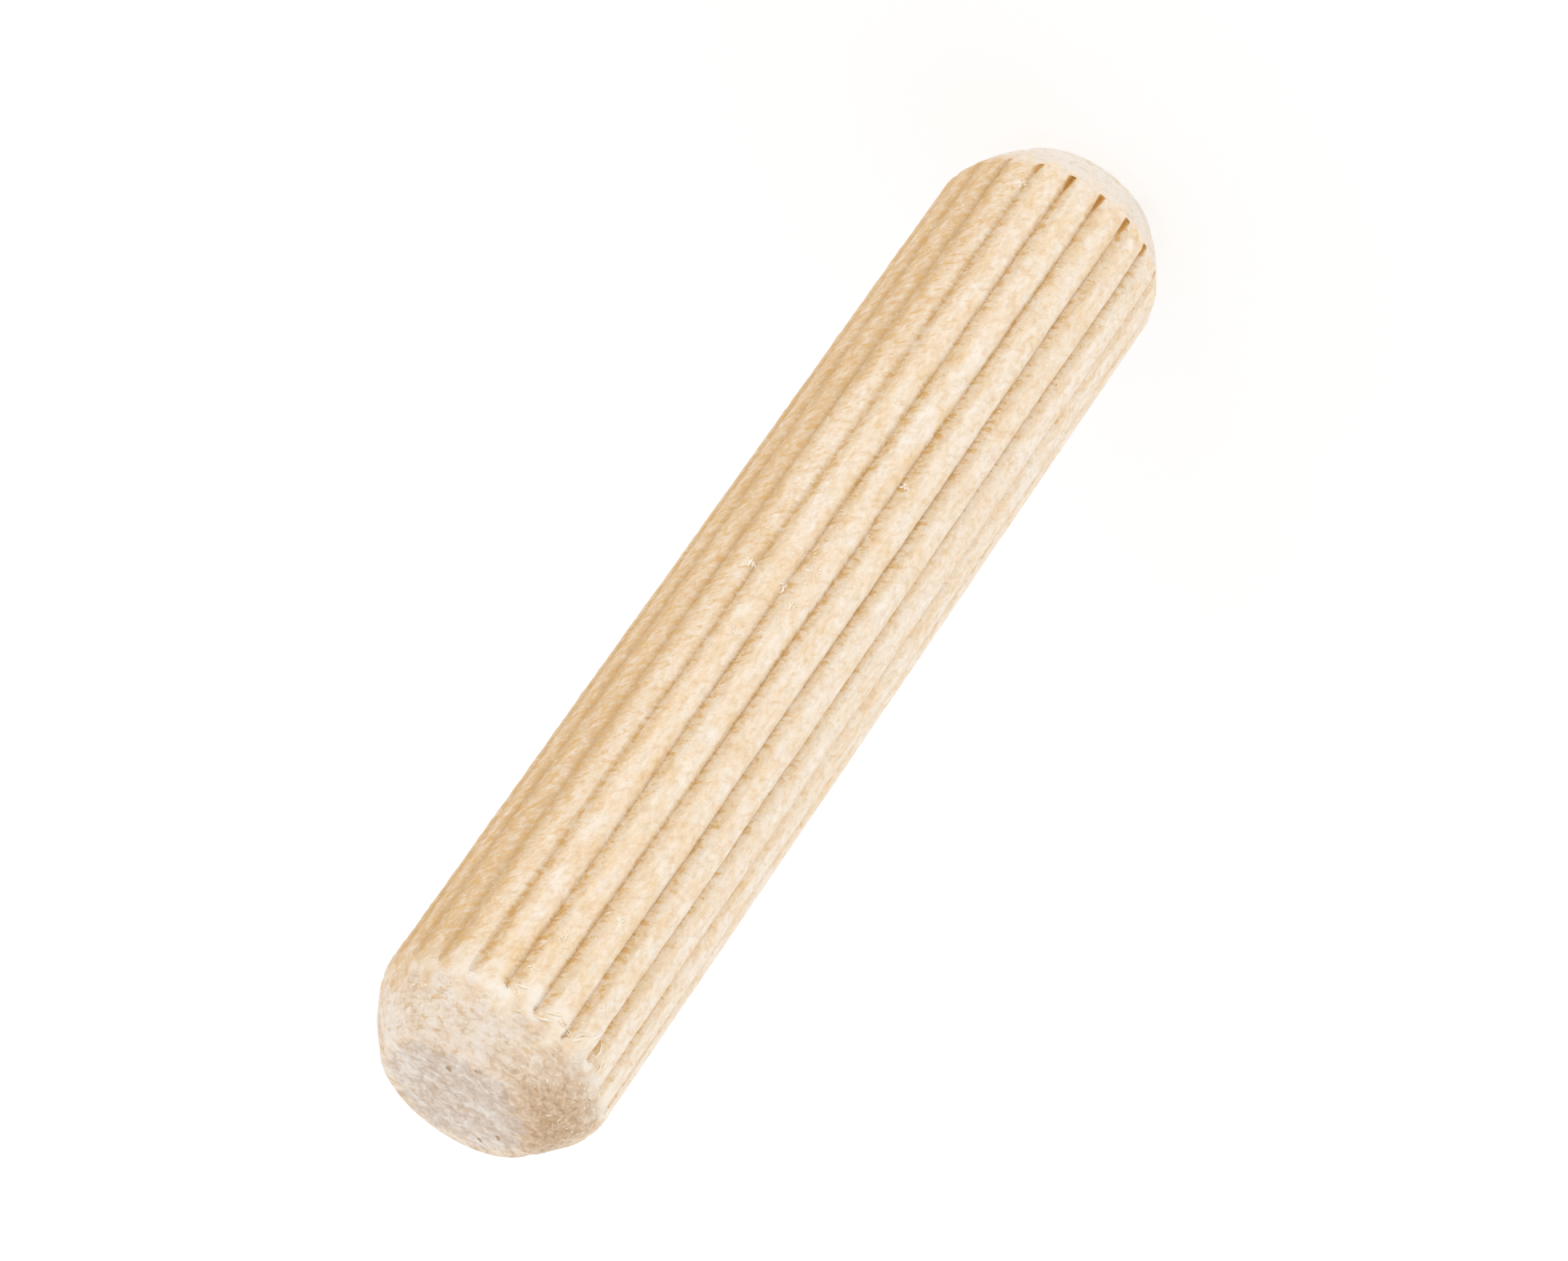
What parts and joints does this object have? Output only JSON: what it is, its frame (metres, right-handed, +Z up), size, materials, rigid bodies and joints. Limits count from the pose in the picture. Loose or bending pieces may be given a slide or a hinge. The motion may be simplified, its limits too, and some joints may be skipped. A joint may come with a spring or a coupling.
{
  "type": "dowel pin",
  "caption": "Fluted wooden dowel pin: a straight round pin with ratchet-shaped flutes along its whole length and a crowned lead-in and flat at both ends, for glued joints in wood.",
  "frame": {"origin": "the middle of the lower end's flat, which the dowel stands on", "axes": "+Z up along the dowel's axis, -Y to the front, where one flute's root lies, +X to the right seen from the front"},
  "size_m": [0.008, 0.008, 0.04],
  "materials": {
    "wood": "bare, unsanded pale hardwood, fuzzy where it was cut across the grain"
  },
  "bodies": {
    "root": {"dowel_pin": "wood"}
  },
  "joints": []
}
